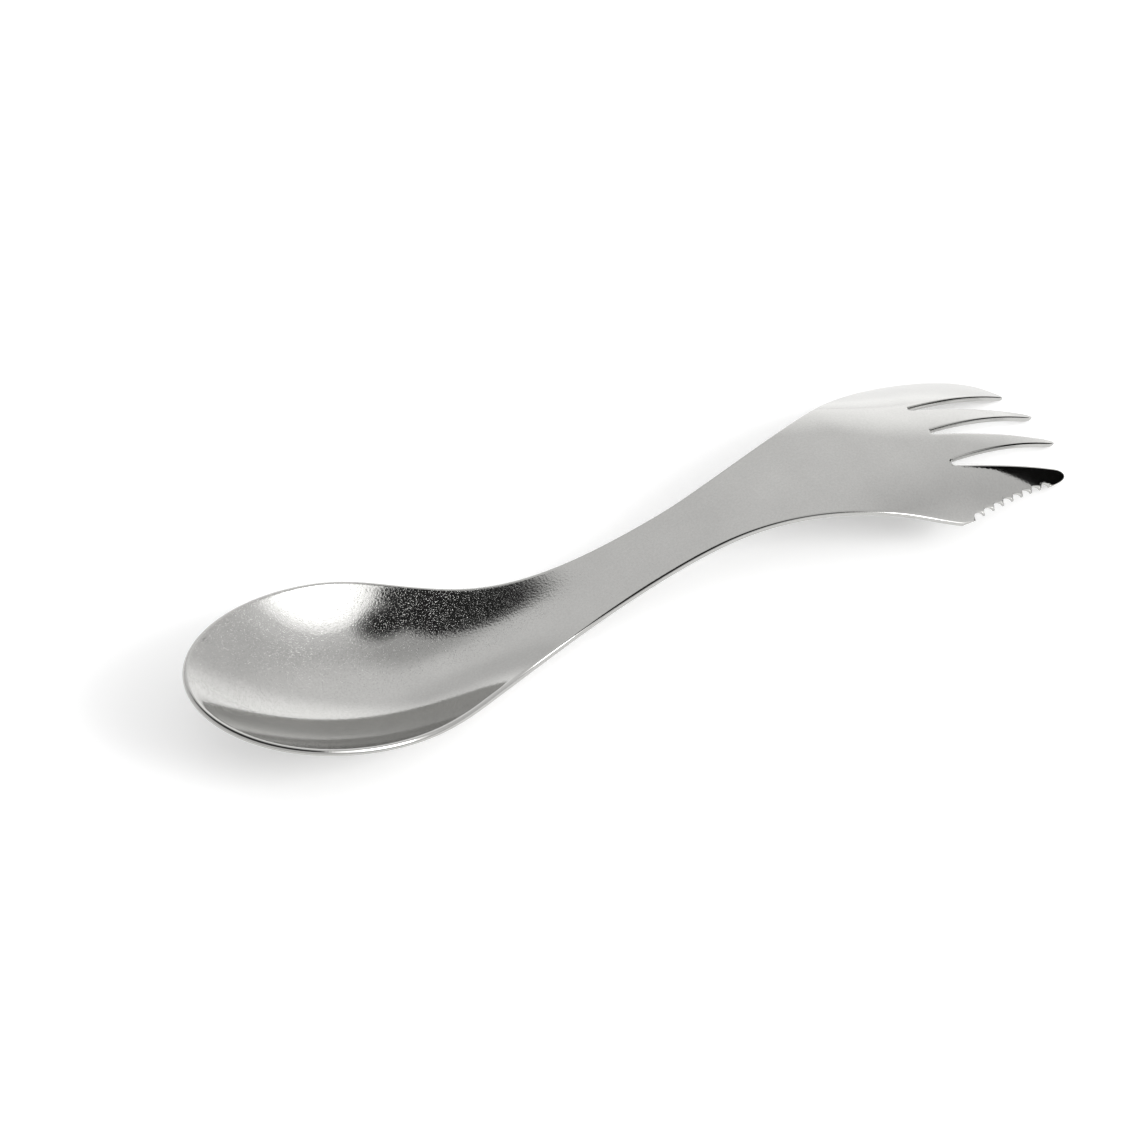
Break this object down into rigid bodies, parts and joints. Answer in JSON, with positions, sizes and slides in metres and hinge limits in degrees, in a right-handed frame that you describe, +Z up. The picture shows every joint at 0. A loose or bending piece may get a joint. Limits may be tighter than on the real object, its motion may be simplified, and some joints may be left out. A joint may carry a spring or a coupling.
{
  "type": "spork",
  "caption": "One-piece steel spork: deep spoon bowl, flat waisted handle and an arched fork with pointed tines and a toothed cutting edge on one outer tine.",
  "frame": {"origin": "on the table surface, below the middle of the overall length and width, with the spork lying bowl up and tine tips down", "axes": "+X from the spoon bowl to the fork, +Y to the plain outer tine's side, +Z up"},
  "size_m": [0.1704, 0.04, 0.0191],
  "materials": {
    "steel": "polished stainless steel with a fine tumbled grain"
  },
  "bodies": {
    "root": {"spoon_bowl": "steel", "handle": "steel", "fork_palm": "steel", "outer_tine": "steel", "inner_tine_left": "steel", "inner_tine_right": "steel", "knife_tine": "steel"}
  },
  "joints": []
}
